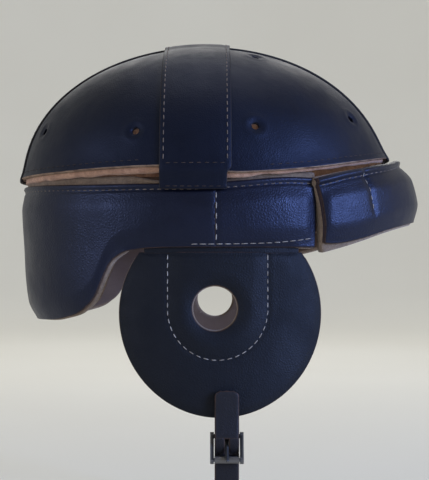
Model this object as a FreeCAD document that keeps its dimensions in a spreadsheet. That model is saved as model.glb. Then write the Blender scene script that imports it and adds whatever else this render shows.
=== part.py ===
import FreeCAD, Part
import Sketcher
import math
import os

# Leather football helmet with round ear flaps, a crown of four panels and a buckled chin strap.
# Millimetres. +X is the wearer's front, +Y the wearer's left, +Z up. The origin is the centre of
# the head opening, in the plane of the side band's lower edge.

doc = FreeCAD.newDocument("LeatherHelmet")
Vector = FreeCAD.Vector

# ---------------------------------------------------------------- driving dimensions

sheet = doc.addObject("Spreadsheet::Sheet", "Sizes")
size = {}


def cell(alias, value):
    """Put one named number in the sheet and keep it for the code that shapes plain features."""
    row = len(size) + 1
    sheet.set("A%d" % row, alias)
    sheet.set("B%d" % row, str(value))
    sheet.setAlias("B%d" % row, alias)
    size[alias] = value
    return value


cell("helmet_centre_x", -1.0)
cell("crown_centre_height", 44.0)
cell("crown_half_length", 110.7)
cell("crown_half_width", 91.0)
cell("crown_half_height", 78.6)
cell("crown_leather", 2.2)
cell("crown_felt", 4.0)
cell("liner_drop", 3.4)
cell("strap_leather", 1.6)
cell("strap_crossing_gap", 0.3)
cell("strap_gap", 0.05)
cell("cross_strap_width", 38.4)
cell("cross_strap_x", -6.0)
cell("fore_aft_strap_width", 36.0)
cell("webbing_width", 25.0)
cell("webbing_thickness", 1.2)
cell("webbing_bottom_height", 47.0)
cell("vent_radius", 2.1)
cell("tab_bottom_height", 35.5)

cell("band_leather", 2.0)
cell("band_felt", 5.0)
cell("band_lining", 1.2)
cell("forehead_felt", 7.0)
cell("sweatband_leather", 1.4)
cell("sweatband_top_height", 38.6)
cell("band_seam_x", 5.0)
cell("band_front_x", 61.0)
cell("forehead_pad_start_x", 62.0)
cell("crown_clearance", 0.4)

cell("flap_radius", 55.7)
cell("flap_centre_x", 7.3)
cell("flap_centre_height", -36.6)
cell("flap_half_length", 109.0)
cell("flap_half_width", 85.6)
cell("flap_leather", 2.0)
cell("flap_felt", 4.0)
cell("flap_lining", 1.2)
cell("flap_top_height", -2.0)
cell("flap_felt_top_height", -6.0)
cell("ear_hole_radius", 12.8)
cell("ear_hole_x", 4.6)
cell("ear_hole_height", -33.3)
cell("hinge_gap", 0.3)
cell("hinge_top_height", 9.0)
cell("hinge_front_x", 40.0)
cell("hinge_rear_x", -26.0)

cell("chin_strap_width", 13.0)
cell("chin_strap_leather", 2.0)
cell("chin_strap_x", 11.0)
cell("chin_strap_tip_height", -76.0)
cell("buckle_tab_leather", 1.8)
cell("buckle_tab_top_height", -79.0)
cell("tab_face", 85.65)
cell("heel_bar_height", -102.0)
cell("heel_bar_outward", 0.9)
cell("heel_bar_radius", 1.2)
cell("toe_bar_height", -114.0)
cell("toe_bar_outward", 5.0)
cell("toe_bar_radius", 1.0)
cell("roller_radius", 2.0)
cell("roller_bore_radius", 1.15)
cell("roller_length", 13.4)
cell("buckle_width", 18.0)
cell("buckle_side", 2.0)
cell("buckle_side_radius", 2.2)
cell("prong_radius", 1.0)
cell("prong_ring_radius", 2.5)
cell("prong_ring_bore", 1.3)
cell("prong_ring_width", 2.6)
cell("prong_length", 14.0)
cell("prong_slot_width", 3.2)
cell("eye_bore_radius", 1.4)
cell("eye_slot_width", 3.6)

doc.recompute()

# Outer surface of the side and rear band: height, half length, half width of each section.
BAND_SECTIONS = [(-47.0, 103.2, 85.0), (-35.0, 108.4, 87.2), (-20.0, 110.9, 88.2), (0.0, 112.0, 88.6),
                 (24.0, 114.0, 89.6), (42.0, 112.4, 88.2)]
# Outer surface of the forehead pad, which leans out towards its lower edge.
PAD_SECTIONS = [(-4.0, 129.0, 90.4), (17.0, 130.4, 91.2), (31.0, 128.4, 91.4), (46.0, 123.9, 90.6),
                (58.0, 116.6, 87.6)]

# Side outlines, as (x, z) points of one smooth edge, rear to front.
CROWN_EDGE = [(-130, 42.4), (-83, 42.7), (-50, 43.8), (-25, 44.2), (-6, 42.8), (13, 40.8), (34, 41.8),
              (60, 44.8), (78, 48.1), (94, 51.5), (111, 56.0), (130, 61.0)]
BAND_TOP = [(-130, 36.5), (-96, 35.6), (-70, 34.8), (-30, 34.5), (-3, 34.6), (20, 36.2), (45, 38.4),
            (70, 39.6)]
BAND_BOTTOM = [(-130, -43.5), (-100, -42.4), (-83, -40.2), (-70, -35.8), (-61, -29.5), (-55, -20.5),
               (-51, -11.0), (-45, -4.5), (-38, -1.2), (-29, -0.1), (-14, 0.2), (2, 0.2), (20, 0.2),
               (45, 0.2), (70, 0.2)]
SWEATBAND_BOTTOM = [(-150, 6.0), (20, 6.0), (62, 9.0), (85, 15.0), (106, 20.0), (150, 26.0)]
PAD_TOP = [(50, 34.4), (62, 38.3), (70, 40.5), (77, 42.6), (87, 45.2), (95, 47.4), (110, 51.4), (120, 54.0),
           (135, 57.8)]
PAD_BOTTOM = [(50, -3.6), (62, -2.0), (77, 1.4), (92, 5.8), (106, 10.3), (124, 15.2), (140, 18.6)]

# Vents, as (around, up) angles in degrees on the crown's own ellipsoid, wearer's right side.
VENTS = {"rear": [(-154.0, 18.2), (-110.8, 14.6)], "front": [(-74.8, 16.5), (-32.6, 23.4), (-56.5, 60.9)]}

FAR = 150.0
MIDDLE = Vector(size["helmet_centre_x"], 0, size["crown_centre_height"])


# ---------------------------------------------------------------- building blocks

def bind(item, prop, expression):
    item.setExpression(prop, expression.replace("$", "Sizes."))


def ellipsoid(name, extra, poles="Z"):
    """The crown's ellipsoid grown by the sheet expression extra on every half axis. poles="Y" puts
    its poles at the ears, away from a strap that runs fore and aft."""
    item = doc.addObject("Part::Ellipsoid", name)
    along, across = ("height", "width") if poles == "Z" else ("width", "height")
    bind(item, "Radius1", "$crown_half_%s + %s" % (along, extra))
    bind(item, "Radius2", "$crown_half_length + " + extra)
    bind(item, "Radius3", "$crown_half_%s + %s" % (across, extra))
    if poles == "Y":
        item.Placement.Rotation = FreeCAD.Rotation(Vector(1, 0, 0), 90)
    bind(item, "Placement.Base.x", "$helmet_centre_x")
    bind(item, "Placement.Base.z", "$crown_centre_height")
    item.Angle1 = -90
    item.Angle2 = 90
    return item


def cut(name, base, tool):
    item = doc.addObject("Part::Cut", name)
    item.Base = base
    item.Tool = tool
    return item


def common(name, *shapes):
    item = doc.addObject("Part::MultiCommon", name)
    item.Shapes = list(shapes)
    return item


def fuse(name, *shapes):
    item = doc.addObject("Part::MultiFuse", name)
    item.Shapes = list(shapes)
    return item


def box(name, low, high):
    item = doc.addObject("Part::Box", name)
    item.Length, item.Width, item.Height = (high[i] - low[i] for i in range(3))
    item.Placement = FreeCAD.Placement(Vector(*low), FreeCAD.Rotation())
    return item


def smooth_edge(points):
    curve = Part.BSplineCurve()
    curve.interpolate([Vector(x, 0, z) for x, z in points])
    return curve.toShape()


def side_block(name, lower, upper, y_low, y_high):
    """A block between two side outlines. An outline is a list of points, or one plain height."""
    edges = []
    corners = []
    for outline in (lower, upper):
        if isinstance(outline, list):
            edges.append(smooth_edge(outline))
            corners.append((outline[0], outline[-1]))
        else:
            ends = ((-FAR, outline), (FAR, outline))
            edges.append(Part.makeLine(Vector(-FAR, 0, outline), Vector(FAR, 0, outline)))
            corners.append(ends)
    (a, b), (c, d) = corners
    for p, q in ((a, c), (b, d)):
        edges.append(Part.makeLine(Vector(p[0], 0, p[1]), Vector(q[0], 0, q[1])))
    face = Part.Face(Part.Wire(Part.__sortEdges__(edges)))
    item = doc.addObject("Part::Feature", name)
    item.Shape = face.extrude(Vector(0, y_high - y_low, 0))
    item.Placement = FreeCAD.Placement(Vector(0, y_low, 0), FreeCAD.Rotation())
    return item


def ring_loft(name, sections, inset):
    """A closed body through ellipses, each set in from its section by the expression inset."""
    profiles = []
    for number, (height, half_length, half_width) in enumerate(sections):
        ellipse = doc.addObject("Part::Ellipse", "%s_section_%d" % (name, number))
        bind(ellipse, "MajorRadius", "%s - (%s)" % (half_length, inset))
        bind(ellipse, "MinorRadius", "%s - (%s)" % (half_width, inset))
        bind(ellipse, "Placement.Base.x", "$helmet_centre_x")
        ellipse.Placement.Base.z = height
        profiles.append(ellipse)
    loft = doc.addObject("Part::Loft", name)
    loft.Sections = profiles
    loft.Solid = True
    loft.Ruled = False
    return loft


def layers(name, sections, insets):
    """Nested walls that touch face to face, from the outside in."""
    lofts = [ring_loft("%s_surface_%d" % (name, i), sections, inset) for i, inset in enumerate(insets)]
    return [cut("%s_wall_%d" % (name, i), lofts[i], lofts[i + 1]) for i in range(len(insets) - 1)]


def cylinder_at(name, radius, length, middle, axis):
    """A cylinder of the given sheet or plain size, centred on middle and lying along axis."""
    item = doc.addObject("Part::Cylinder", name)
    bind(item, "Radius", radius)
    bind(item, "Height", length)
    turn = FreeCAD.Rotation(Vector(0, 0, 1), axis)
    doc.recompute()
    item.Placement = FreeCAD.Placement(middle - axis * (item.Height.Value / 2), turn)
    return item


nodes = []


def node(item, label):
    item.Label = label
    nodes.append(item)
    return item


SIDES = {"right": -1, "left": 1}

# ---------------------------------------------------------------- crown

crown_surface = ellipsoid("crown_surface", "0")
crown_inside = ellipsoid("crown_inside", "-$crown_leather")
liner_inside = ellipsoid("liner_inside", "-$crown_leather - $crown_felt")
crown_wall = cut("crown_wall", crown_surface, crown_inside)
liner_wall = cut("liner_wall", crown_inside, liner_inside)


def vent_drill(name, around, up, side):
    """A drill square to the crown at the given angles."""
    a, b, c = size["crown_half_length"], size["crown_half_width"], size["crown_half_height"]
    t, p = math.radians(around), math.radians(up)
    unit = Vector(math.cos(t) * math.cos(p), -side * math.sin(t) * math.cos(p), math.sin(p))
    point = MIDDLE + Vector(a * unit.x, b * unit.y, c * unit.z)
    normal = Vector(unit.x / a, unit.y / b, unit.z / c).normalize()
    return cylinder_at(name, "$vent_radius", "16", point, normal)


for side_name, side in SIDES.items():
    y_low, y_high = (0, FAR) if side > 0 else (-FAR, 0)
    for end_name, (x_low, x_high) in {"front": (size["cross_strap_x"], FAR),
                                      "rear": (-FAR, size["cross_strap_x"])}.items():
        tag = "%s_%s" % (end_name, side_name)
        above = side_block("crown_block_" + tag, CROWN_EDGE, 140.0, y_low, y_high)
        quarter = box("crown_quarter_" + tag, (x_low, y_low, -FAR), (x_high, y_high, FAR))
        drills = [vent_drill("vent_%s_%d" % (tag, i), around, up, side)
                  for i, (around, up) in enumerate(VENTS[end_name])]
        blank = common("crown_blank_" + tag, crown_wall, above, quarter)
        vents = fuse("crown_vents_" + tag, *drills)
        node(cut("crown_cut_" + tag, blank, vents), "crown_panel_" + tag)

liner_edge = [(x, z - size["liner_drop"]) for x, z in CROWN_EDGE]
liner_block = side_block("liner_block", liner_edge, 140.0, -FAR, FAR)
all_vents = fuse("liner_vents", *[vent_drill("liner_vent_%s_%d_%d" % (end_name, i, side), around, up, side)
                                  for end_name, spots in VENTS.items()
                                  for i, (around, up) in enumerate(spots) for side in (-1, 1)])
liner_blank = common("liner_blank", liner_wall, liner_block)
node(cut("liner_cut", liner_blank, all_vents), "crown_felt_liner")

# The fore-and-aft strap lies on the panels, and the cross strap lifts over it at the top.
strap_surface = ellipsoid("strap_surface", "$strap_leather", "Y")
strap_inside = ellipsoid("strap_inside", "$strap_gap", "Y")
fore_aft_wall = cut("fore_aft_wall", strap_surface, strap_inside)
half = size["fore_aft_strap_width"] / 2
fore_aft_bounds = box("fore_aft_bounds", (-FAR, -half, -FAR), (FAR, half, FAR))
fore_aft_edge = [(x, z - 2.0) for x, z in CROWN_EDGE]
fore_aft_block = side_block("fore_aft_block", fore_aft_edge, 140.0, -FAR, FAR)
node(common("fore_aft", fore_aft_wall, fore_aft_bounds, fore_aft_block), "crown_fore_aft_strap")

cross_inside = ellipsoid("cross_inside", "$strap_gap")
bind(cross_inside, "Radius1", "$crown_half_height + $strap_leather + $strap_crossing_gap")
cross_surface = ellipsoid("cross_surface", "$strap_leather")
bind(cross_surface, "Radius1", "$crown_half_height + 2 * $strap_leather + $strap_crossing_gap")
cross_wall = cut("cross_wall", cross_surface, cross_inside)
half = size["cross_strap_width"] / 2
cross_bounds = box("cross_bounds", (size["cross_strap_x"] - half, -FAR, size["tab_bottom_height"]),
                   (size["cross_strap_x"] + half, FAR, FAR))
node(common("cross_strap", cross_wall, cross_bounds), "crown_cross_strap")

# Two webbing straps under the felt carry the crown on the wearer's head.
webbing_gap = "-$crown_leather - $crown_felt"
web_surfaces = [ellipsoid("web_surface_%d" % i, "%s - 0.3 * %d - %d * $webbing_thickness"
                          % (webbing_gap, 1 + (i > 1), i - (i > 1))) for i in range(4)]
half = size["webbing_width"] / 2
floor = size["webbing_bottom_height"]
web_walls = [cut("web_wall_0", web_surfaces[0], web_surfaces[1]),
             cut("web_wall_1", web_surfaces[2], web_surfaces[3])]
web_boxes = [box("web_box_0", (-FAR, -half, floor + 10), (FAR, half, FAR)),
             box("web_box_1", (size["cross_strap_x"] - half, -FAR, floor),
                 (size["cross_strap_x"] + half, FAR, FAR))]
node(common("web_fore_aft", web_walls[0], web_boxes[0]), "webbing_fore_aft")
node(common("web_cross", web_walls[1], web_boxes[1]), "webbing_cross")

# ---------------------------------------------------------------- side and rear band

LAYER_NAMES = ["cover", "felt", "lining"]
band_insets = ["0", "$band_leather", "$band_leather + $band_felt",
               "$band_leather + $band_felt + $band_lining",
               "$band_leather + $band_felt + $band_lining + $sweatband_leather"]
band_walls = layers("band", BAND_SECTIONS, band_insets)

sweat_block = side_block("sweat_block", SWEATBAND_BOTTOM, size["sweatband_top_height"], -FAR, FAR)
node(common("sweat", band_walls[3], sweat_block), "sweatband")


def flap_cylinder(name, inset, low, high):
    """An upright elliptic cylinder that the ear flap and its hinge leather follow."""
    ellipse = doc.addObject("Part::Ellipse", name + "_ellipse")
    bind(ellipse, "MajorRadius", "$flap_half_length - (%s)" % inset)
    bind(ellipse, "MinorRadius", "$flap_half_width - (%s)" % inset)
    bind(ellipse, "Placement.Base.x", "$helmet_centre_x")
    ellipse.Placement.Base.z = low
    item = doc.addObject("Part::Extrusion", name)
    item.Base = ellipse
    item.DirMode = "Custom"
    item.Dir = Vector(0, 0, 1)
    item.LengthFwd = high - low
    item.Solid = True
    return item


# The ear flaps' hinge leather is let into the felt above the band's lower edge.
flap_insets = ["0", "$flap_leather", "$flap_leather + $flap_felt",
               "$flap_leather + $flap_felt + $flap_lining"]
flap_cylinders = [flap_cylinder("flap_surface_%d" % i, inset, -100.0, 20.0)
                  for i, inset in enumerate(flap_insets)]
flap_walls = [cut("flap_wall_%d" % i, flap_cylinders[i], flap_cylinders[i + 1]) for i in range(3)]
hinges = {}
for side_name, side in SIDES.items():
    y_low, y_high = (0, FAR) if side > 0 else (-FAR, 0)
    low = size["flap_top_height"] + size["hinge_gap"]
    hinge_box = box("hinge_box_" + side_name, (size["hinge_rear_x"], y_low, low),
                    (size["hinge_front_x"], y_high, size["hinge_top_height"]))
    hinge = common("hinge_" + side_name, flap_walls[0], hinge_box)
    hinges[side_name] = node(hinge, "ear_flap_hinge_" + side_name)
hinge_pair = fuse("hinge_pair", hinges["right"], hinges["left"])

rear_block = side_block("rear_block", BAND_BOTTOM, BAND_TOP, -FAR, FAR)
rear_bounds = box("rear_bounds", (-FAR, -FAR, -FAR), (size["band_seam_x"], FAR, FAR))
for layer_name, wall in zip(LAYER_NAMES, band_walls):
    piece = common("rear_%s_blank" % layer_name, wall, rear_block, rear_bounds)
    if layer_name == "felt":
        piece = cut("rear_felt_pocket", piece, hinge_pair)
    node(piece, "rear_band_" + layer_name)

for side_name, side in SIDES.items():
    y_low, y_high = (0, FAR) if side > 0 else (-FAR, 0)
    side_bounds = box("side_bounds_" + side_name, (size["band_seam_x"], y_low, -FAR),
                      (size["band_front_x"], y_high, FAR))
    for layer_name, wall in zip(LAYER_NAMES, band_walls):
        piece = common("side_%s_blank_%s" % (layer_name, side_name), wall, rear_block, side_bounds)
        if layer_name == "felt":
            piece = cut("side_felt_pocket_" + side_name, piece, hinges[side_name])
        node(piece, "side_band_%s_%s" % (layer_name, side_name))

# ---------------------------------------------------------------- forehead pad

pad_insets = ["0", "$band_leather", "$band_leather + $forehead_felt",
              "$band_leather + $forehead_felt + $band_lining"]
pad_walls = layers("pad", PAD_SECTIONS, pad_insets)
pad_block = side_block("pad_block", PAD_BOTTOM, PAD_TOP, -FAR, FAR)
pad_bounds = box("pad_bounds", (size["forehead_pad_start_x"], -FAR, -FAR), (FAR, FAR, FAR))
dome = ellipsoid("crown_clear_dome", "$strap_leather + $crown_clearance")
dome_edge = [(x, z - size["liner_drop"] - 1.0) for x, z in CROWN_EDGE]
dome_block = side_block("dome_block", dome_edge, 140.0, -FAR, FAR)
crown_room = common("crown_room", dome, dome_block)
for layer_name, wall in zip(LAYER_NAMES, pad_walls):
    piece = common("pad_%s_blank" % layer_name, wall, pad_block, pad_bounds)
    node(cut("pad_%s" % layer_name, piece, crown_room), "forehead_pad_" + layer_name)

# ---------------------------------------------------------------- ear flaps


def ear_disc(name, side, top_alias):
    """The flap's outline block: a disc with its top cut straight and the ear hole through it."""
    body = doc.addObject("PartDesign::Body", name)
    doc.recompute()
    plane = [f for f in body.Origin.OriginFeatures if f.Role == "XZ_Plane"][0]
    sketch = body.newObject("Sketcher::SketchObject", name + "_sketch")
    sketch.AttachmentSupport = [(plane, "")]
    sketch.MapMode = "FlatFace"
    radius, x, z = size["flap_radius"], size["flap_centre_x"], size["flap_centre_height"]
    top = size[top_alias]
    angle = math.asin((top - z) / radius)
    circle = Part.Circle(Vector(x, z, 0), Vector(0, 0, 1), radius)
    sketch.addGeometry(Part.ArcOfCircle(circle, math.pi - angle, 2 * math.pi + angle), False)
    reach = radius * math.cos(angle)
    sketch.addGeometry(Part.LineSegment(Vector(x + reach, top, 0), Vector(x - reach, top, 0)), False)
    hole = Vector(size["ear_hole_x"], size["ear_hole_height"], 0)
    sketch.addGeometry(Part.Circle(hole, Vector(0, 0, 1), size["ear_hole_radius"]), False)
    sketch.addConstraint(Sketcher.Constraint("Coincident", 0, 2, 1, 1))
    sketch.addConstraint(Sketcher.Constraint("Coincident", 0, 1, 1, 2))
    sketch.addConstraint(Sketcher.Constraint("Horizontal", 1))
    named = [("radius", Sketcher.Constraint("Radius", 0, radius), "$flap_radius"),
             ("centre_x", Sketcher.Constraint("DistanceX", 0, 3, x), "$flap_centre_x"),
             ("centre_z", Sketcher.Constraint("DistanceY", 0, 3, z), "$flap_centre_height"),
             ("top", Sketcher.Constraint("DistanceY", 1, 1, top), "$" + top_alias),
             ("hole_radius", Sketcher.Constraint("Radius", 2, hole.x), "$ear_hole_radius"),
             ("hole_x", Sketcher.Constraint("DistanceX", 2, 3, hole.x), "$ear_hole_x"),
             ("hole_z", Sketcher.Constraint("DistanceY", 2, 3, hole.y), "$ear_hole_height")]
    for label, constraint, expression in named:
        index = sketch.addConstraint(constraint)
        sketch.renameConstraint(index, label)
        bind(sketch, "Constraints." + label, expression)
    pad = body.newObject("PartDesign::Pad", name + "_pad")
    pad.Profile = sketch
    pad.Length = 100
    pad.Reversed = side > 0
    body.Tip = pad
    return body


for side_name, side in SIDES.items():
    for layer_name, wall in zip(LAYER_NAMES, flap_walls):
        top_alias = "flap_top_height" if layer_name == "cover" else "flap_felt_top_height"
        tag = "%s_%s" % (layer_name, side_name)
        disc = ear_disc("ear_disc_" + tag, side, top_alias)
        node(common("ear_flap_blank_" + tag, wall, disc), "ear_flap_" + tag)

# ---------------------------------------------------------------- chin strap and buckle

# The buckle hangs on the wearer's right. Its heel bar is at the top and its toe bar at the bottom.
STRAP_X = size["chin_strap_x"]
HEEL = Vector(STRAP_X, -size["tab_face"] - size["heel_bar_outward"], size["heel_bar_height"])
TOE = Vector(STRAP_X, -size["tab_face"] - size["toe_bar_outward"], size["toe_bar_height"])
ACROSS = Vector(1, 0, 0)

half = size["chin_strap_width"] / 2
tab_face = size["tab_face"]
tab_flat = box("tab_flat", (STRAP_X - half, -tab_face - size["buckle_tab_leather"], HEEL.z + 2.4),
                 (STRAP_X + half, -tab_face, size["buckle_tab_top_height"]))
eye_outer = cylinder_at("eye_outer", "$eye_bore_radius + $buckle_tab_leather", "$chin_strap_width",
                        HEEL, ACROSS)
eye_bore = cylinder_at("eye_bore", "$eye_bore_radius", "$chin_strap_width + 2", HEEL, ACROSS)
eye_gap = box("eye_gap", (STRAP_X - size["eye_slot_width"] / 2, HEEL.y - 6, HEEL.z - 6),
              (STRAP_X + size["eye_slot_width"] / 2, HEEL.y + 6, HEEL.z + 4))
tab_solid = fuse("tab_solid", tab_flat, eye_outer)
tab_tools = fuse("tab_tools", eye_bore, eye_gap)
node(cut("tab_cut", tab_solid, tab_tools), "buckle_tab")

heel_bar = cylinder_at("heel_bar", "$heel_bar_radius", "$buckle_width - 1", HEEL, ACROSS)
toe_bar = cylinder_at("toe_bar", "$toe_bar_radius", "$buckle_width - 1", TOE, ACROSS)
frame_parts = [heel_bar, toe_bar]
lean = math.degrees(math.atan2(HEEL.y - TOE.y, HEEL.z - TOE.z))
for number, end in enumerate((-1, 1)):
    middle_x = STRAP_X + end * (size["buckle_width"] - size["buckle_side"]) / 2
    for end_name, centre in (("heel", HEEL), ("toe", TOE)):
        frame_parts.append(cylinder_at("side_%s_%d" % (end_name, number), "$buckle_side_radius",
                                       "$buckle_side", Vector(middle_x, centre.y, centre.z), ACROSS))
    web = doc.addObject("Part::Box", "side_web_%d" % number)
    bind(web, "Length", "$buckle_side")
    bind(web, "Width", "2 * $buckle_side_radius")
    web.Height = (TOE - HEEL).Length
    turn = FreeCAD.Rotation(ACROSS, -lean)
    corner = turn.multVec(Vector(0, -size["buckle_side_radius"], 0))
    web.Placement = FreeCAD.Placement(Vector(middle_x - size["buckle_side"] / 2, TOE.y, TOE.z) + corner, turn)
    frame_parts.append(web)
node(fuse("frame_fuse", *frame_parts), "buckle_frame")

roller_outer = cylinder_at("roller_outer", "$roller_radius", "$roller_length", TOE, ACROSS)
roller_bore = cylinder_at("roller_bore", "$roller_bore_radius", "$roller_length + 2", TOE, ACROSS)
node(cut("roller", roller_outer, roller_bore), "buckle_roller")

# The prong runs from its ring on the heel bar to rest just clear of the roller's outer side.
reach = size["roller_radius"] + 0.15 + size["prong_radius"]
tilt = math.radians(lean) + math.asin(reach / (TOE - HEEL).Length)
prong_line = Vector(0, -math.sin(tilt), -math.cos(tilt))
prong_ring = cylinder_at("prong_ring", "$prong_ring_radius", "$prong_ring_width", HEEL, ACROSS)
prong_hole = cylinder_at("prong_hole", "$prong_ring_bore", "$prong_ring_width + 2", HEEL, ACROSS)
prong_start = HEEL + prong_line * 1.9
prong_arm = cylinder_at("prong_arm", "$prong_radius", "$prong_length - 1.9",
                        (prong_start + HEEL + prong_line * size["prong_length"]) * 0.5, prong_line)
prong_tip = doc.addObject("Part::Sphere", "prong_tip")
bind(prong_tip, "Radius", "$prong_radius")
prong_tip.Placement.Base = HEEL + prong_line * size["prong_length"]
prong_solid = fuse("prong_solid", prong_ring, prong_arm, prong_tip)
node(cut("prong", prong_solid, prong_hole), "buckle_prong")

# The chin strap: sewn to the left flap, hanging in a loop, up behind the toe bar, over the heel
# bar and on to its tip. Points are (outward from the tab's back face, height) on the right side.
STRAP_END = [(3.1, size["chin_strap_tip_height"]), (3.1, -82), (3.2, -88), (3.8, -93), (4.9, -98),
             (5.6, -102), (4.9, -105.5), (3.1, -109.4), (1.0, -114), (0.0, -120)]
LOOP = [(-80.5, -137), (-66, -156), (-38, -168.5), (0, -172.5), (38, -168.5), (66, -156), (81, -136),
        (86.0, -114), (86.75, -98), (86.75, -87), (86.75, size["chin_strap_tip_height"])]


def strap_solid(points, thickness, width, middle_x):
    """A flat strap of even thickness along a smooth line in a plane across the helmet."""
    line = Part.BSplineCurve()
    line.interpolate([Vector(middle_x - width / 2, y, z) for y, z in points])
    count = 14 * len(points)
    outer, inner = [], []
    for step in range(count + 1):
        at = line.FirstParameter + (line.LastParameter - line.FirstParameter) * step / count
        along = line.tangent(at)[0]
        across = Vector(0, -along.z, along.y) * (thickness / 2)
        outer.append(line.value(at) + across)
        inner.append(line.value(at) - across)
    edges = []
    for side_points in (outer, inner):
        curve = Part.BSplineCurve()
        curve.interpolate(side_points)
        edges.append(curve.toShape())
    edges.append(Part.makeLine(outer[0], inner[0]))
    edges.append(Part.makeLine(outer[-1], inner[-1]))
    face = Part.Face(Part.Wire(Part.__sortEdges__(edges)))
    return face.extrude(Vector(width, 0, 0)), line.length()


strap_points = [(-tab_face - outward, height) for outward, height in STRAP_END] + LOOP
strap_shape, strap_length = strap_solid(strap_points, size["chin_strap_leather"],
                                        size["chin_strap_width"], STRAP_X)
strap_blank = doc.addObject("Part::Feature", "chin_strap_blank")
strap_blank.Shape = strap_shape
slot = box("prong_slot", (STRAP_X - size["prong_slot_width"] / 2, -tab_face - 9, -110.8),
           (STRAP_X + size["prong_slot_width"] / 2, -tab_face + 1, -102.6))
node(cut("chin_strap_cut", strap_blank, slot), "chin_strap")

# ---------------------------------------------------------------- check and export

doc.recompute()
for item in doc.Objects:
    if "Invalid" in item.State or "Error" in item.State:
        raise RuntimeError("%s is not computed: %s" % (item.Label, item.State))

os.makedirs("parts", exist_ok=True)
for item in nodes:
    shape = item.Shape
    if shape.isNull() or not shape.isValid() or shape.Volume <= 0 or not shape.Solids:
        raise RuntimeError("%s has no valid solid" % item.Label)
    shape.exportStep("parts/%s.step" % item.Label)
    print("%-28s %9.1f mm3  %d solid(s)" % (item.Label, shape.Volume, len(shape.Solids)))
print("chin strap length %.1f mm" % strap_length)
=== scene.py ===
import math

import bpy
import numpy as np
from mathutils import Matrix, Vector


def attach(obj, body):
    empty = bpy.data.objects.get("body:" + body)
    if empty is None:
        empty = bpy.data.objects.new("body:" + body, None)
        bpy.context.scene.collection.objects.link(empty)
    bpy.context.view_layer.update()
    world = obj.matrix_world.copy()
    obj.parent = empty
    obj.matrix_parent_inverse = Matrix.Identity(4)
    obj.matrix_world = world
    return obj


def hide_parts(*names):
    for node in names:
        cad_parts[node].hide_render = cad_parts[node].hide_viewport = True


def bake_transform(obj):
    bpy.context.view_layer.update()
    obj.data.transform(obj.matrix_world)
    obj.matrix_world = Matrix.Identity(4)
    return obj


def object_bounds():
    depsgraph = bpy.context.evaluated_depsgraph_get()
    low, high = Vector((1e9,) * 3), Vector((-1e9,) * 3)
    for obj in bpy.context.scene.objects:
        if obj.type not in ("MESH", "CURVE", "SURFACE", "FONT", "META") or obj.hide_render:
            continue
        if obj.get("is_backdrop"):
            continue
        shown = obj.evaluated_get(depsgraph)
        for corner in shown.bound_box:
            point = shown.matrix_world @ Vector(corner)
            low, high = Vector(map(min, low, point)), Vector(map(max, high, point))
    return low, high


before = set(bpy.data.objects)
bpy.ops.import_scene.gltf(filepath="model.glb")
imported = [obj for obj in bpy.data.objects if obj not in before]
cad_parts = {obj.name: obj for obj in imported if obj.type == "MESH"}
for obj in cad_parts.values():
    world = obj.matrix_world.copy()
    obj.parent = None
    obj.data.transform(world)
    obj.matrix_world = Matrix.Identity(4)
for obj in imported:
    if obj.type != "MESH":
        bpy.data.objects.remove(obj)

cad_low, cad_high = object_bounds()

# Leather football helmet. Sizes are in millimetres in the CAD frame, and become metres in make_mesh.
MM = 0.001
RNG = np.random.default_rng(7)

# ---- The shapes that all pieces follow

# The crown: centre, half axes, and how its lower edge flares and its brow flattens, as shares.
MID_X, CROWN_Z = -1.0, 44.0
CROWN = np.array([110.7, 91.0, 78.6])
EDGE_FLARE, FLARE_HEIGHT, BROW_FLAT = 0.022, 5.0, 0.016
CROWN_LEATHER, CROWN_FELT, VENT_R = 2.2, 4.0, 2.1
# The straps over the crown and the webbing under it. Each row of stitches is ROW_INSET from an edge.
STRAP_LEATHER, ROW_INSET, STRAP_SUNK = 1.6, 1.9, 0.5
CROSS_X, CROSS_HALF, FORE_AFT_HALF = -6.0, 19.2, 18.0
TAB_BOTTOM, TAB_BEND_Z = 31.6, 42.0
WEB_HALF, WEB_THICK, WEB_END_ANGLE = 12.5, 1.2, 0.16
# The band and the forehead pad: where they start and end, and the half length of the ring there.
SEAM_X, BAND_END_X, PAD_START_X = 5.0, 61.0, 61.2
SEAM_A, BAND_END_A, PAD_START_A = 112.0, 112.5, 126.0
SEAM_STITCH_X = 5.3
BAND_LEATHER, BAND_FELT, BAND_LINING, PAD_FELT = 2.0, 5.0, 1.2, 7.0
BAND_ROW_GAP, PAD_ROW_GAP = 2.9, 4.4
PAD_LEAN = 0.030
SWEATBAND_TOP, SWEATBAND_OUT, SWEATBAND_IN = 38.6, 9.4, 10.7
# The ear flaps: half axes of their bent face, outline, ear hole, and the U of stitches round it.
FLAP_A, FLAP_B = 109.0, 85.6
FLAP_X, FLAP_Z, FLAP_R = 7.8, -36.6, 55.7
FLAP_TOP, FLAP_FELT_TOP = -2.9, -6.0
FLAP_LEATHER, FLAP_FELT, FLAP_LINING, FLAP_SWELL = 2.0, 4.0, 1.2, 0.9
EAR_X, EAR_Z, EAR_R = 4.6, -33.3, 12.8
U_HALF, U_X, U_Z, U_PRESS = 27.3, 6.1, -34.0, 0.55
HINGE_Y, HINGE_INSET, HINGE_THICK = 84.5, 0.9, 1.2
# The chin strap, the slot for the prong, and the tab that holds the buckle.
STRAP_X, STRAP_WIDTH, STRAP_THICK = 11.0, 13.0, 2.0
SLOT_TOP, SLOT_FOOT, SLOT_HALF = -102.6, -110.8, 1.6
STRAP_DOME, STRAP_CORNER = 0.25, 2.6
TAB_FACE, TAB_THICK, TAB_SLOT_HALF, EYE_R = 85.65, 1.6, 1.8, 2.3


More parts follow.
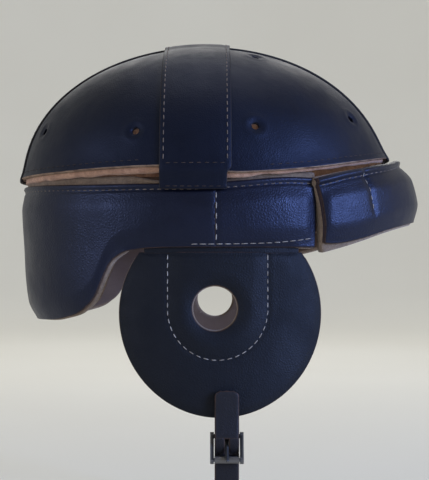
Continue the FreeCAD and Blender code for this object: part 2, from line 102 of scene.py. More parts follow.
def smooth_line(points):
    """A smooth curve y(x) through a few points."""
    xs, ys = np.array(points, float).T
    slopes = np.gradient(ys, xs)

    def at(x):
        x = np.clip(x, xs[0], xs[-1])
        i = np.clip(np.searchsorted(xs, x) - 1, 0, len(xs) - 2)
        step = xs[i + 1] - xs[i]
        t = (x - xs[i]) / step
        return ((2 * t**3 - 3 * t**2 + 1) * ys[i] + (t**3 - 2 * t**2 + t) * step * slopes[i]
                + (3 * t**2 - 2 * t**3) * ys[i + 1] + (t**3 - t**2) * step * slopes[i + 1])

    return at


def smoothstep(low, high, x):
    t = np.clip((x - low) / (high - low), 0, 1)
    return t * t * (3 - 2 * t)


# Heights of edges over x, then the half length a and half width b of each ring over its height.
crown_edge = smooth_line([(-130, 42.4), (-83, 42.7), (-50, 43.8), (-25, 44.2), (-6, 42.8), (13, 40.8),
                          (34, 41.8), (60, 44.8), (78, 48.1), (94, 51.5), (111, 56.0), (130, 61.0)])
band_top = smooth_line([(-130, 37.5), (-96, 35.8), (-70, 34.8), (-30, 34.5), (-3, 34.6), (20, 36.2),
                        (45, 38.4), (60, 38.4)])
band_bottom = smooth_line([(-130, -44.2), (-100, -43.3), (-83, -41.0), (-70, -35.2), (-63, -27.4),
                           (-59, -18.4), (-55, -9.8), (-48, -3.4), (-39, -0.9), (-29, -0.1), (-14, 0.2),
                           (2, 0.2), (45, 0.2), (62, 0.2)])
pad_top = smooth_line([(50, 34.4), (62, 38.2), (70, 40.4), (77, 42.5), (87, 45.0), (95, 47.2), (110, 51.4),
                       (117, 54.6), (121, 55.8), (135, 58.0)])
pad_bottom = smooth_line([(50, -4.6), (62, -2.8), (77, 0.6), (92, 5.0), (106, 9.5), (124, 14.4),
                          (140, 17.8)])
band_a = smooth_line([(-47, 101.8), (-44, 103.6), (-41, 105.2), (-38, 106.6), (-35, 107.6), (-28, 109.0),
                      (-20, 110.0), (0, 111.2), (24, 112.6), (42, 112.4)])
band_b = smooth_line([(-47, 85.0), (-35, 87.2), (-20, 88.2), (0, 88.6), (24, 89.6), (42, 88.2)])
pad_a = smooth_line([(-4, 129.0), (17, 130.2), (31, 128.8), (46, 123.9), (58, 116.6)])
pad_b = smooth_line([(-4, 90.4), (17, 91.2), (31, 91.4), (46, 90.6), (58, 87.6)])


def crown_point(around, up, out):
    """A point out mm off the crown's leather, at angles in radians. The lower edge flares a little."""
    half = CROWN + np.asarray(out)[..., None]
    z = CROWN_Z + half[..., 2] * np.sin(up)
    above_edge = np.maximum(z - crown_edge(half[..., 0] * np.cos(around)), 0)
    flare = 1 + EDGE_FLARE * np.exp(-above_edge / FLARE_HEIGHT)
    brow = 1 - BROW_FLAT * np.sin(2 * up) * np.maximum(np.cos(around), 0)
    x = MID_X + half[..., 0] * np.cos(around) * np.cos(up) * flare * brow
    y = half[..., 1] * np.sin(around) * np.cos(up) * flare
    return np.stack([x, y, z], -1)


def ring_point(a_of, b_of, around, z, inset):
    """A point on a band: the ellipse at height z, set in by inset mm."""
    x = MID_X + (a_of(z) - inset) * np.cos(around)
    y = (b_of(z) - inset) * np.sin(around)
    return np.stack([x, y, z + 0 * x], -1)


# ---- Mesh building

def place_object(name, data):
    item = bpy.data.objects.new(name, data)
    bpy.context.scene.collection.objects.link(item)
    return item


def select(pieces):
    bpy.ops.object.select_all(action="DESELECT")
    for piece in pieces:
        piece.select_set(True)
    bpy.context.view_layer.objects.active = pieces[0]


def make_mesh(name, points, faces, materials, face_slots=None):
    mesh = bpy.data.meshes.new(name)
    mesh.from_pydata((np.asarray(points) * MM).tolist(), [], faces)
    for m in materials:
        mesh.materials.append(m)
    mesh.polygons.foreach_set("use_smooth", [True] * len(mesh.polygons))
    if face_slots is not None:
        mesh.polygons.foreach_set("material_index", face_slots)
    mesh.update()
    return place_object(name, mesh)


def turn_outward(piece):
    select([piece])
    bpy.ops.object.mode_set(mode="EDIT")
    bpy.ops.mesh.select_all(action="SELECT")
    bpy.ops.mesh.normals_make_consistent(inside=False)
    bpy.ops.object.mode_set(mode="OBJECT")


def unit(v):
    return v / np.maximum(np.linalg.norm(v, axis=-1, keepdims=True), 1e-9)


def running_length(path):
    """The distance along a path at each of its points."""
    return np.r_[0, np.cumsum(np.linalg.norm(np.diff(path, axis=0), axis=1))]


def outward_normals(grid, closed=False):
    """Grid normals, turned away from the middle of the helmet."""
    du = np.roll(grid, -1, 0) - np.roll(grid, 1, 0) if closed else np.gradient(grid, axis=0)
    n = unit(np.cross(du, np.gradient(grid, axis=1)))
    away = np.sum(n * (grid - np.array((MID_X, 0, 0))), -1)
    return n if np.mean(away) > 0 else -n


def shell(name, outer, inner, materials, closed=False, roll=0.45, inner_slot=0):
    """A skin between two grids of points, with a rounded edge all round. A closed grid joins up round
    itself. The rim takes the second material."""
    nu, nv = outer.shape[:2]
    points = [outer.reshape(-1, 3), inner.reshape(-1, 3)]
    faces, slots = [], []
    spans = nu if closed else nu - 1
    for i in range(spans):
        j = (i + 1) % nu
        for k in range(nv - 1):
            a, b, c, d = i * nv + k, j * nv + k, j * nv + k + 1, i * nv + k + 1
            faces.append((a, b, c, d))
            faces.append(tuple(nu * nv + v for v in (d, c, b, a)))
            slots += [0, inner_slot]
    if closed:
        loops = [[(i, 0) for i in range(nu)], [(i, nv - 1) for i in range(nu)]]
    else:
        loops = [[(i, 0) for i in range(nu)] + [(nu - 1, k) for k in range(1, nv)]
                 + [(i, nv - 1) for i in range(nu - 2, -1, -1)] + [(0, k) for k in range(nv - 2, 0, -1)]]
    count = 2 * nu * nv
    for loop in loops:
        rim = []
        for i, k in loop:
            out = np.zeros(3)
            if k == 0:
                out += unit(outer[i, 0] - outer[i, 1])
            if k == nv - 1:
                out += unit(outer[i, -1] - outer[i, -2])
            if not closed and i == 0:
                out += unit(outer[0, k] - outer[1, k])
            if not closed and i == nu - 1:
                out += unit(outer[-1, k] - outer[-2, k])
            a, b = outer[i, k], inner[i, k]
            middle, half = (a + b) / 2, (a - b) / 2
            size = np.linalg.norm(half)
            rim.append([middle + half * math.cos(t) + unit(out) * size * roll * math.sin(t)
                        for t in (math.pi / 4, math.pi / 2, 3 * math.pi / 4)])
        points.append(np.array(rim).reshape(-1, 3))
        n = len(loop)
        for s in range(n):
            here, there = loop[s], loop[(s + 1) % n]
            column = [here[0] * nv + here[1]] + [count + 3 * s + r for r in range(3)]
            column.append(nu * nv + column[0])
            after = [there[0] * nv + there[1]] + [count + 3 * ((s + 1) % n) + r for r in range(3)]
            after.append(nu * nv + after[0])
            for r in range(4):
                faces.append((column[r], after[r], after[r + 1], column[r + 1]))
                slots.append(1)
        count += 3 * n
    piece = make_mesh(name, np.concatenate(points), faces, materials, slots)
    turn_outward(piece)
    return piece


def join(name, pieces):
    select(pieces)
    bpy.ops.object.join()
    pieces[0].name = name
    pieces[0].data.name = name
    return pieces[0]


def sew(name, line, thread, length, gap, radius, body="helmet"):
    """A sewn row along line, which is points and their normals: one short rounded thread after another,
    each end sunk into the leather."""
    path, normals = line
    lengths = running_length(path)
    count = max(int(lengths[-1] / (length + gap)), 1)
    pitch = lengths[-1] / count
    points, faces = [], []
    # Share along the stitch, width and height, both in radii.
    profile = [(-0.5, 0.2, -0.9), (-0.42, 0.75, -0.1), (-0.2, 1.0, 0.35), (0.2, 1.0, 0.35),
               (0.42, 0.75, -0.1), (0.5, 0.2, -0.9)]
    sides = 6
    for k in range(count):
        middle = (k + 0.5) * pitch
        yaw, stretch = RNG.normal(0, 0.035), RNG.uniform(0.92, 1.04)
        base = len(points)
        for share, width, lift in profile:
            s = np.clip(middle + share * length * stretch, 0, lengths[-1])
            here = np.array([np.interp(s, lengths, path[:, c]) for c in range(3)])
            normal = unit(np.array([np.interp(s, lengths, normals[:, c]) for c in range(3)]))
            ahead = np.array([np.interp(min(s + 0.4, lengths[-1]), lengths, path[:, c]) for c in range(3)])
            behind = np.array([np.interp(max(s - 0.4, 0), lengths, path[:, c]) for c in range(3)])
            side = unit(np.cross(ahead - behind, normal))
            here = here + side * share * length * yaw + normal * lift * radius
            for q in range(sides):
                t = 2 * math.pi * q / sides
                points.append(here + (side * math.cos(t) + normal * math.sin(t)) * radius * width)
        rows = len(profile)
        for r in range(rows - 1):
            for q in range(sides):
                a, b = base + r * sides + q, base + r * sides + (q + 1) % sides
                faces.append((a, b, b + sides, a + sides))
        faces.append(tuple(base + q for q in range(sides))[::-1])
        faces.append(tuple(base + (rows - 1) * sides + q for q in range(sides)))
    piece = make_mesh(name, np.array(points), faces, [thread])
    turn_outward(piece)
    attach(piece, body)


# ---- Materials

class Nodes:
    """A short way to write a node tree: new() makes a node, sets its inputs and links its sockets."""

    def __init__(self, name):
        self.material = bpy.data.materials.new(name)
        self.material.use_nodes = True
        self.tree = self.material.node_tree
        self.bsdf = self.tree.nodes["Principled BSDF"]
        self.coords = self.new("TexCoord").outputs["Object"]

    def new(self, kind, settings=None, **inputs):
        node = self.tree.nodes.new("ShaderNode" + kind)
        for key, value in (settings or {}).items():
            setattr(node, key, value)
        for key, value in inputs.items():
            self.put(node.inputs[key.replace("_", " ")], value)
        return node

    def put(self, socket, value):
        if isinstance(value, bpy.types.NodeSocket):
            self.tree.links.new(value, socket)
        else:
            socket.default_value = value

    def noise(self, scale, detail=4.0, rough=0.55, stretch=None):
        where = self.coords
        if stretch:
            where = self.new("Mapping", Vector=self.coords, Scale=stretch).outputs[0]
        return self.new("TexNoise", Vector=where, Scale=scale, Detail=detail, Roughness=rough).outputs[0]

    def cells(self, scale):
        kind = {"feature": "DISTANCE_TO_EDGE"}
        return self.new("TexVoronoi", kind, Vector=self.coords, Scale=scale).outputs[0]

    def ranged(self, value, low, high, to_low, to_high):
        node = self.new("MapRange", {"clamp": True}, Value=value)
        for index, number in zip((1, 2, 3, 4), (low, high, to_low, to_high)):
            node.inputs[index].default_value = number
        return node.outputs[0]

    def mix(self, factor, a, b):
        node = self.new("Mix", {"data_type": "RGBA"})
        for index, value in ((0, factor), (6, a), (7, b)):
            self.put(node.inputs[index], value)
        return node.outputs[2]

    def maths(self, operation, a, b):
        node = self.new("Math", {"operation": operation})
        self.put(node.inputs[0], a)
        self.put(node.inputs[1], b)
        return node.outputs[0]

    def bump(self, height, distance, strength=1.0, under=None):
        node = self.new("Bump", Height=height, Distance=distance, Strength=strength)
        if under is not None:
            self.tree.links.new(under, node.inputs["Normal"])
        return node.outputs[0]

    def finish(self, colour, rough, normal, **fixed):
        self.put(self.bsdf.inputs["Base Color"], colour)
        self.put(self.bsdf.inputs["Roughness"], rough)
        self.put(self.bsdf.inputs["Normal"], normal)
        for key, value in fixed.items():
            self.bsdf.inputs[key.replace("_", " ")].default_value = value
        return self.material


def leather(name, deep, light, worn, rough, grain, grain_depth, wear=0.5, shine=0.40,
            tint=(0.50, 0.60, 1.0)):
    """Dyed leather: pebbled grain, soft creases, mottled dye and rubbed high edges."""
    n = Nodes(name)
    cloud = n.noise(22.0, 5.0, 0.6)
    fine = n.noise(420.0, 3.0, 0.6)
    dye = n.mix(n.ranged(cloud, 0.35, 0.68, 0.0, 1.0), (*deep, 1), (*light, 1))
    rub = n.new("NewGeometry").outputs["Pointiness"]
    edge = n.ranged(rub, 0.515, 0.60, 0.0, 1.0)
    scuff = n.ranged(n.noise(150.0, 6.0, 0.7, (1.0, 1.0, 0.45)), 0.60, 0.78, 0.0, 0.5)
    mask = n.maths("MULTIPLY", n.maths("ADD", edge, scuff), wear)
    colour = n.mix(mask, dye, (*worn, 1))
    rough_map = n.ranged(n.noise(55.0, 4.0), 0.3, 0.7, rough - 0.06, rough + 0.09)
    pebble = n.ranged(n.cells(grain), 0.0, 0.35, 0.0, 1.0)
    normal = n.bump(n.noise(34.0, 3.0, 0.5), 0.0012, 0.4)
    normal = n.bump(n.noise(130.0, 4.0, 0.6, (1.0, 1.0, 0.5)), 0.0005, 0.4, normal)
    normal = n.bump(pebble, 0.00016 * grain_depth, 0.8, normal)
    normal = n.bump(fine, 0.00010 * grain_depth, 0.7, normal)
    return n.finish(colour, rough_map, normal, Specular_IOR_Level=shine, Specular_Tint=(*tint, 1))


def raw_edge(name, dark, pale):
    """The cut edge of leather: brown, fibrous and matt."""
    n = Nodes(name)
    streak = n.noise(300.0, 4.0, 0.7, (0.5, 0.5, 3.0))
    colour = n.mix(n.ranged(streak, 0.35, 0.65, 0.0, 1.0), (*dark, 1), (*pale, 1))
    normal = n.bump(streak, 0.0003, 0.7)
    return n.finish(colour, 0.78, normal)


def felt(name, dark, pale):
    """Wool felt: tufted, clouded and soft."""
    n = Nodes(name)
    tuft = n.noise(240.0, 6.0, 0.75)
    cloud = n.noise(40.0, 3.0)
    colour = n.mix(n.ranged(tuft, 0.35, 0.68, 0.0, 1.0), (*dark, 1), (*pale, 1))
    colour = n.mix(n.ranged(cloud, 0.4, 0.7, 0.0, 0.35), colour, (*dark, 1))
    normal = n.bump(tuft, 0.0009, 0.8)
    normal = n.bump(n.noise(900.0, 3.0, 0.7), 0.0003, 0.8, normal)
    return n.finish(colour, 0.95, normal, Sheen_Weight=0.25, Sheen_Roughness=0.6)


def webbing(name, dark, pale):
    """Woven cotton tape."""
    n = Nodes(name)
    waves = []
    for direction in ("X", "Y", "Z"):
        kind = {"bands_direction": direction}
        wave = n.new("TexWave", kind, Vector=n.coords, Scale=150.0, Distortion=0.6)
        waves.append(wave.outputs["Fac"])
    weave = n.maths("MULTIPLY", n.maths("ADD", waves[0], waves[1]), waves[2])
    colour = n.mix(n.ranged(weave, 0.1, 1.3, 0.0, 1.0), (*dark, 1), (*pale, 1))
    normal = n.bump(weave, 0.0005, 0.7)
    return n.finish(colour, 0.9, normal, Sheen_Weight=0.15)


def thread_material(name, dark, pale):
    """Twisted, soiled linen thread."""
    n = Nodes(name)
    twist = n.new("TexWave", {"bands_direction": "DIAGONAL"}, Vector=n.coords, Scale=420.0, Distortion=1.0)
    soil = n.noise(90.0, 3.0)
    colour = n.mix(n.ranged(soil, 0.35, 0.65, 0.0, 1.0), (*dark, 1), (*pale, 1))
    normal = n.bump(twist.outputs["Fac"], 0.0002, 0.7)
    return n.finish(colour, 0.75, normal)


def worn_enamel(name):
    """Black enamel, rubbed and chipped down to the steel."""
    n = Nodes(name)
    rub = n.new("NewGeometry").outputs["Pointiness"]
    chips = n.ranged(n.noise(260.0, 6.0, 0.7), 0.56, 0.66, 0.0, 0.8)
    mask = n.maths("MAXIMUM", n.ranged(rub, 0.53, 0.62, 0.0, 0.9), chips)
    colour = n.mix(mask, (0.012, 0.012, 0.014, 1), (0.22, 0.21, 0.20, 1))
    n.put(n.bsdf.inputs["Metallic"], n.ranged(mask, 0.0, 1.0, 0.0, 0.85))
    normal = n.bump(n.noise(500.0, 4.0), 0.0002, 0.5)
    return n.finish(colour, n.ranged(mask, 0.0, 1.0, 0.42, 0.34), normal)


BLACK = leather("black_leather", (0.0034, 0.0040, 0.0090), (0.0058, 0.0068, 0.0150), (0.015, 0.012, 0.015),
                rough=0.41, grain=620.0, grain_depth=0.55, shine=0.47, tint=(0.57, 0.65, 1.0))
CROWN_BLACK = leather("crown_leather", (0.0024, 0.0034, 0.0078), (0.0040, 0.0054, 0.0115),
                      (0.012, 0.010, 0.013), rough=0.50, grain=760.0, grain_depth=0.4, wear=0.35,
                      shine=0.31, tint=(0.58, 0.66, 1.0))
FLAP_BLACK = leather("flap_leather", (0.0029, 0.0035, 0.0047), (0.0043, 0.0049, 0.0063),
                     (0.010, 0.009, 0.010), rough=0.62, grain=700.0, grain_depth=0.8, wear=0.35,
                     shine=0.34, tint=(0.80, 0.84, 1.0))
STRAP_BLACK = leather("strap_leather", (0.0072, 0.0072, 0.0090), (0.0125, 0.0120, 0.0140),
                      (0.040, 0.033, 0.030), rough=0.55, grain=700.0, grain_depth=0.7, wear=0.8,
                      tint=(0.85, 0.85, 1.0))
TAN = leather("tan_leather", (0.135, 0.088, 0.056), (0.225, 0.155, 0.104), (0.30, 0.23, 0.16),
              rough=0.66, grain=800.0, grain_depth=0.7)
FOLD = leather("worn_fold", (0.0060, 0.0042, 0.0045), (0.016, 0.0095, 0.0085), (0.05, 0.028, 0.02),
               rough=0.6, grain=700.0, grain_depth=0.6, wear=0.9)
CUT = raw_edge("cut_leather_edge", (0.014, 0.006, 0.005), (0.060, 0.028, 0.018))
TAN_CUT = raw_edge("tan_leather_edge", (0.13, 0.08, 0.05), (0.27, 0.18, 0.115))
DYED_CUT = raw_edge("dyed_edge", (0.006, 0.005, 0.006), (0.020, 0.013, 0.012))
PALE_CUT = raw_edge("worn_crown_edge", (0.10, 0.052, 0.030), (0.36, 0.24, 0.155))
FELT = felt("wool_felt", (0.150, 0.095, 0.056), (0.300, 0.210, 0.135))
# Liner felt, set lighter and redder than the band's felt: its own tan plus painted light that brightens it
# where it lies in shade under the crown's edge.
LINER_FELT = felt("liner_felt", (0.31, 0.150, 0.084), (0.66, 0.380, 0.230))
WEB = webbing("cotton_webbing", (0.16, 0.13, 0.09), (0.40, 0.35, 0.26))
THREAD = thread_material("linen_thread", (0.105, 0.074, 0.052), (0.225, 0.175, 0.135))
BRIGHT_THREAD = thread_material("clean_thread", (0.30, 0.255, 0.21), (0.50, 0.45, 0.39))
BROWN_THREAD = thread_material("brown_thread", (0.022, 0.013, 0.010), (0.060, 0.038, 0.028))
ENAMEL = worn_enamel("worn_black_enamel")


def dress(piece, body, slot, *nodes):
    """Attach a piece to its body and hide the CAD nodes that it stands for. Its finish, slot, is not used.
    """
    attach(piece, body)
    if nodes:
        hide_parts(*nodes)
    return piece


SIDES = {"right": -1, "left": 1}

# ---- Crown

# Each vent of the right side, as degrees round from the front and degrees up.
VENTS = {"rear": [(-154.0, 18.2), (-110.8, 14.6)], "front": [(-74.8, 16.5), (-32.6, 23.4), (-56.5, 60.9)]}


def crown_grid(around, rows, out, drop=0.0):
    """A grid over part of the crown, from its lower edge (lowered by drop) to the top."""
    around = np.asarray(around)[:, None]
    share = (np.linspace(0, 1, rows) ** 1.15)[None, :]
    low = np.zeros_like(around)
    for _ in range(4):
        x = MID_X + CROWN[0] * np.cos(around) * np.cos(low)
        low = np.arcsin(np.clip((crown_edge(x) - drop - CROWN_Z) / CROWN[2], -0.5, 1))
    up = low + (math.pi / 2 - 0.02 - low) * share
    return crown_point(around + 0 * up, up, out + 0 * up)


def vent_spots(side, ends):
    """For each vent of the named ends: the angles round and up, and its place on the leather."""
    for around, up in sum((VENTS[end] for end in ends), []):
        t, p = math.radians(-around * side), math.radians(up)
        yield t, p, crown_point(np.array(t), np.array(p), np.array(0.0))


def drill(piece, side):
    """Punch the vents, square to the crown."""
    cutters = []
    for t, p, point in vent_spots(side, VENTS):
        normal = Vector((math.cos(t) * math.cos(p) / CROWN[0], math.sin(t) * math.cos(p) / CROWN[1],
                         math.sin(p) / CROWN[2])).normalized()
        bpy.ops.mesh.primitive_cylinder_add(vertices=24, radius=VENT_R * MM, depth=0.02, location=point * MM)
        cutter = bpy.context.object
        cutter.rotation_mode = "QUATERNION"
        cutter.rotation_quaternion = normal.to_track_quat("Z", "Y")
        cutter.data.materials.append(CUT)
        cutters.append(cutter)
    cutter = join("vent_punch", cutters)
    cut = piece.modifiers.new("vents", "BOOLEAN")
    cut.object = cutter
    cut.operation = "DIFFERENCE"
    cut.solver = "EXACT"
    bpy.context.view_layer.objects.active = piece
    bpy.ops.object.modifier_apply(modifier="vents")
    bpy.data.objects.remove(cutter)


def vent_dish(grid, side, end):
    """The leather dips slightly round each punched vent, and swells a little round the dip."""
    for _, _, centre in vent_spots(side, [end]):
        distance = np.linalg.norm(grid - centre, axis=-1)
        dip = 0.75 * np.exp(-((distance - VENT_R) / 1.7) ** 2)
        swell = 0.35 * np.exp(-((distance - 5.5) / 1.6) ** 2)
        grid = grid - outward_normals(grid) * (dip - swell)[..., None]
    return grid


for side_name, side in SIDES.items():
    for end_name, (first, last) in {"front": (0.0, 90.0), "rear": (90.0, 180.0)}.items():
        around = np.radians(np.linspace(first, last, 96)) * side
        outer = vent_dish(crown_grid(around, 90, 0.0), side, end_name)
        inner = outer - outward_normals(outer) * CROWN_LEATHER
        panel = shell("crown_%s_%s" % (end_name, side_name), outer, inner, [CROWN_BLACK, PALE_CUT],
                      inner_slot=1)
        drill(panel, side)
        dress(panel, "helmet", "black_leather", "crown_panel_%s_%s" % (end_name, side_name))

# The felt liner shows under the crown's edge, with a slightly rippled lower edge. Its felt is coloured
# lighter than the band's felt: its own tan plus painted light that brightens it in the shaded gap.
around = np.linspace(0, 2 * math.pi, 288, endpoint=False)
front_share = smoothstep(0.0, 40.0, MID_X + CROWN[0] * np.cos(around))[:, None]
outer = crown_grid(around, 70, -CROWN_LEATHER - 0.2, 3.0 - 2.2 * front_share)
outer[:, 0, 2] += 0.35 * np.sin(around * 31) * np.sin(around * 7 + 1)
inner = outer - outward_normals(outer, True) * CROWN_FELT
liner = shell("crown_liner", outer, inner, [LINER_FELT, LINER_FELT], closed=True, roll=0.7)
for side in SIDES.values():
    drill(liner, side)
dress(liner, "helmet", "felt", "crown_felt_liner")


def strap_over(name, axis, half, low_front, low_rear, out_of, thick, centre):
    """A strap over the crown. axis 0 runs fore and aft, and axis 1 from ear to ear, with tabs that bend
    in over the band. out_of(angle, across) is how far its face stands off."""
    angle = np.linspace(low_front, math.pi - low_rear, 200)[:, None]
    across = np.linspace(-half, half, 17)[None, :] + centre
    grids = []
    for depth in (0.0, thick):
        out = out_of(angle, across) + thick - depth - STRAP_SUNK
        size = CROWN + out[..., None]
        wide = across
        if axis == 1:
            below_edge = crown_edge(0.0) + 1.0 - (CROWN_Z + size[..., 2] * np.sin(angle))
            drawn_in = 2.4 * smoothstep(CROSS_X, CROSS_X + CROSS_HALF, across)
            wide = across - smoothstep(0.0, 3.0, below_edge) * drawn_in
        other = (wide - (MID_X if axis == 1 else 0)) / size[..., 1 - axis]
        scale = np.sqrt(1 - other**2)
        span = size[..., axis] * np.cos(angle) * scale
        z = CROWN_Z + size[..., 2] * np.sin(angle) * scale
        if axis == 0:
            flare = 1 + EDGE_FLARE * np.exp(-np.maximum(z - crown_edge(MID_X + span), 0) / FLARE_HEIGHT)
            brow = 1 - BROW_FLAT * np.sin(2 * angle) * np.maximum(np.cos(angle), 0) * np.ones_like(flare)
            grids.append(np.stack([MID_X + span * flare * brow, across + 0 * span, z], -1))
        else:
            flare = 1 + EDGE_FLARE * np.exp(-(np.hypot(z - TAB_BEND_Z, 2.0) - 2.0) / 6.0)
            lean = np.sign(span) * 0.9 * smoothstep(0.0, 7.0, TAB_BEND_Z - z)
            grids.append(np.stack([wide + 0 * span, span * flare - lean, z], -1))
    return shell(name, grids[0], grids[1], [CROWN_BLACK, DYED_CUT]), grids[0]


def groove(across, half):
    """The stitched lines press into a strap ROW_INSET from its edges."""
    return -0.3 * np.exp(-((np.abs(across) - (half - ROW_INSET)) / 0.9) ** 2)


def fore_aft_out(angle, across):
    return 0.05 + groove(across, FORE_AFT_HALF) + 0 * angle


def cross_out(angle, across):
    """The cross strap climbs over the fore-aft strap at the top."""
    side = np.abs((CROWN[1] + 1) * np.cos(angle))
    lift = (STRAP_LEATHER + 0.2) * (1 - smoothstep(15.0, 27.0, side))
    return 0.05 + lift + groove(across - CROSS_X, CROSS_HALF)


front_low = math.asin((crown_edge(110.0) - 2.0 - CROWN_Z) / CROWN[2])
strap, fore_aft_grid = strap_over("crown_fore_aft_strap_leather", 0, FORE_AFT_HALF, front_low, -0.045,
                                  fore_aft_out, STRAP_LEATHER, 0.0)
dress(strap, "helmet", "black_leather", "crown_fore_aft_strap")
tab_low = -math.asin((CROWN_Z - TAB_BOTTOM) / CROWN[2])
strap, cross_grid = strap_over("crown_cross_strap_leather", 1, CROSS_HALF, tab_low, tab_low,
                               cross_out, STRAP_LEATHER, CROSS_X)
dress(strap, "helmet", "black_leather", "crown_cross_strap")

for name, axis, centre, depth in (("webbing_fore_aft", 0, 0.0, 6.7), ("webbing_cross", 1, CROSS_X, 8.2)):
    strap, _ = strap_over("inner_" + name, axis, WEB_HALF, WEB_END_ANGLE, WEB_END_ANGLE,
                          lambda up, across, depth=depth: 0 * up + 0 * across - depth, WEB_THICK, centre)
    for index in (0, 1):
        strap.data.materials[index] = WEB
    dress(strap, "helmet", "webbing", name)

# ---- Padded band pieces


class Padding:
    """The leather face of one sewn pad round the head, which swells between its rows of stitches. a_of
    and b_of give its ring at a height, top and bottom its edges, end_gap the distance to its end, curl how
    the lower edge turns in, and seam an upright row: its x at a height, its low and high end, its depth."""

    def __init__(self, a_of, b_of, top, bottom, swell, sink, row_gap, lip, end_gap, seam, curl,
                 cover_lift=None):
        self.a_of, self.b_of, self.top, self.bottom = a_of, b_of, top, bottom
        self.swell, self.sink, self.row_gap, self.lip = swell, sink, row_gap, lip
        self.end_gap, self.seam, self.curl = end_gap, seam, curl
        self.cover_lift = cover_lift or (lambda x: 0 * x)

    def x_at(self, around, z):
        return MID_X + self.a_of(z) * np.cos(around)

    def height(self, around, z):
        """How far the leather stands off the plain section."""
        x = self.x_at(around, z)
        top_gap = np.maximum(self.top(x) - z, 0)
        low_gap = np.maximum(z - self.bottom(x) - self.cover_lift(x), 0)
        rise = smoothstep(self.row_gap, self.row_gap + 11.0, top_gap) * smoothstep(0.0, 12.0, low_gap)
        rise = rise * smoothstep(-1.0, 8.0, self.end_gap(x))
        row = 0.7 * np.exp(-((top_gap - self.row_gap) / 1.1) ** 2)
        lip = self.lip * np.exp(-((top_gap - 0.45 * self.row_gap) / (0.36 * self.row_gap)) ** 2)
        curl = self.curl(x) * np.exp(-((low_gap / 2.2) ** 2))
        row_x, low, high, depth = self.seam
        pressed = depth * np.exp(-(((x - row_x(z)) / 1.5) ** 2))
        pressed = pressed * smoothstep(low - 5, low, z) * (1 - smoothstep(high, high + 2, z))
        return self.swell * rise - row + lip - curl - pressed - self.sink

    def point(self, around, z, inset=0.0):
        """A point inset mm under the leather's face, and the outward direction there."""
        around, z = np.broadcast_arrays(np.asarray(around, float), np.asarray(z, float))
        a, b = self.a_of(z), self.b_of(z)
        da, db = self.a_of(z + 0.5) - self.a_of(z - 0.5), self.b_of(z + 0.5) - self.b_of(z - 0.5)
        c, s = np.cos(around), np.sin(around)
        normal = unit(np.stack([c / a, s / b, -(c * c * da / a + s * s * db / b)], -1))
        base = np.stack([MID_X + a * c, b * s, z], -1)
        return base + normal * (self.height(around, z) - inset)[..., None], normal

    def rows(self, around, count, low_lift, lean=0.0, high_lift=None):
        """Angles and heights of a grid between the edges, each raised by its lift."""
        share = np.linspace(0, 1, count)[None, :] + 0 * around[:, None]
        around = around[:, None] * (1 - lean * (1 - share))
        z = np.full_like(around, 20.0)
        for _ in range(8):
            x = self.x_at(around, z)
            low = self.bottom(x) + low_lift(x)
            high = self.top(x) + (high_lift(x) if high_lift else 0.0)
            z = low + (high - low) * share
        return around, z

    def line_under_top(self, around, gap):
        z = np.full_like(around, 30.0)
        for _ in range(8):
            z = self.top(self.x_at(around, z)) - gap
        return self.point(around, z)


def padded_piece(name, nodes, skin, around, felt_thick, count, lean=0.0, tuck=None, stand=None):
    """Cover, felt and lining of one sewn pad. tuck(x) raises the felt's lower edge inside the cover, and
    stand(x) is how far the felt stands above the cover's top edge."""
    tuck = tuck or (lambda x: 0 * x)
    angles, z = skin.rows(around, count, skin.cover_lift, lean)
    outer, _ = skin.point(angles, z)
    cover_in, _ = skin.point(angles, z, BAND_LEATHER)
    cover = shell(name + "_cover", outer, cover_in, [BLACK, CUT])
    dress(cover, "helmet", "black_leather", nodes % "cover")
    angles, z = skin.rows(around * 0.999, count, tuck, lean, stand)
    layers = []
    for depth, flat in ((BAND_LEATHER, 0.0), (BAND_LEATHER + felt_thick, 0.8),
                        (BAND_LEATHER + felt_thick + BAND_LINING, 0.8)):
        inset = depth + flat * (skin.height(angles, z) + skin.sink * 0.5)
        layers.append(skin.point(angles, z, inset)[0])
    core = shell(name + "_felt", layers[0], layers[1], [FELT, FELT], roll=0.5)
    dress(core, "helmet", "felt", nodes % "felt")
    lining = shell(name + "_lining", layers[1], layers[2], [TAN, TAN_CUT])
    dress(lining, "helmet", "tan_leather", nodes % "lining")


def angle_at(x, a):
    return math.acos((x - MID_X) / a)


def seam_x(z):
    return SEAM_STITCH_X + 0 * z


def pad_seam_x(z):
    return 98.2 - 0.19 * z


def band_curl(x):
    """Over the ear flap the band's lower edge turns in."""
    return 1.1 * smoothstep(-46.0, -38.0, x) * (1 - smoothstep(44.0, 52.0, x))


def band_tuck(x):
    """Room over the ear flap's hinge: the padding stops short of the leather's lower edge."""
    return 3.4 * smoothstep(-47.0, -40.0, x) * (1 - smoothstep(46.5, 50.0, x))


def band_stand(x):
    """How far the felt stands above the band's leather."""
    return 1.2 + 2.9 * (1 - smoothstep(-45.0, -25.0, x)) + 1.6 * smoothstep(10.0, 25.0, x)


